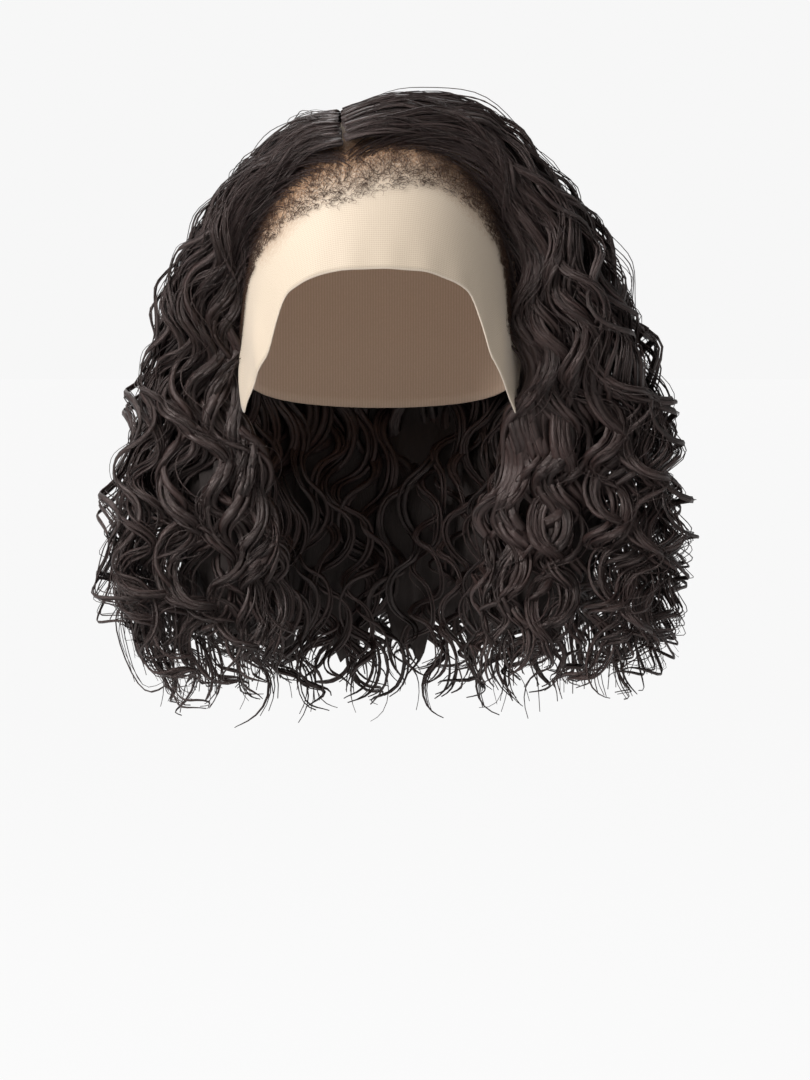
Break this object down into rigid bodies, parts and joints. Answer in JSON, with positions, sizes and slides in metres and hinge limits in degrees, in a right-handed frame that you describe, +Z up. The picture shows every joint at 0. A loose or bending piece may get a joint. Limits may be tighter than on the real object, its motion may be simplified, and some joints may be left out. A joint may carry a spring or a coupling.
{
  "type": "lace front wig",
  "caption": "Curly dark brown bob wig with a left side parting, a sheer lace front with ear tabs and a hollow cap for the head.",
  "frame": {"origin": "the crown of the head that the wig sits on, at the inner top of the cap", "axes": "+Z up, the face looks along -Y, +X to the viewer's right in the picture"},
  "size_m": [0.3406, 0.2447, 0.3665],
  "materials": {
    "hair": "silky dark brown curls",
    "lace": "sheer lace",
    "cap_cloth": "matt stretch cloth"
  },
  "bodies": {
    "root": {"wig_cap": "cap_cloth", "lace_front": "lace", "hair_right_front": "hair", "hair_right": "hair", "hair_back_right": "hair", "hair_back_left": "hair", "hair_left": "hair", "hair_left_front": "hair"}
  },
  "joints": []
}
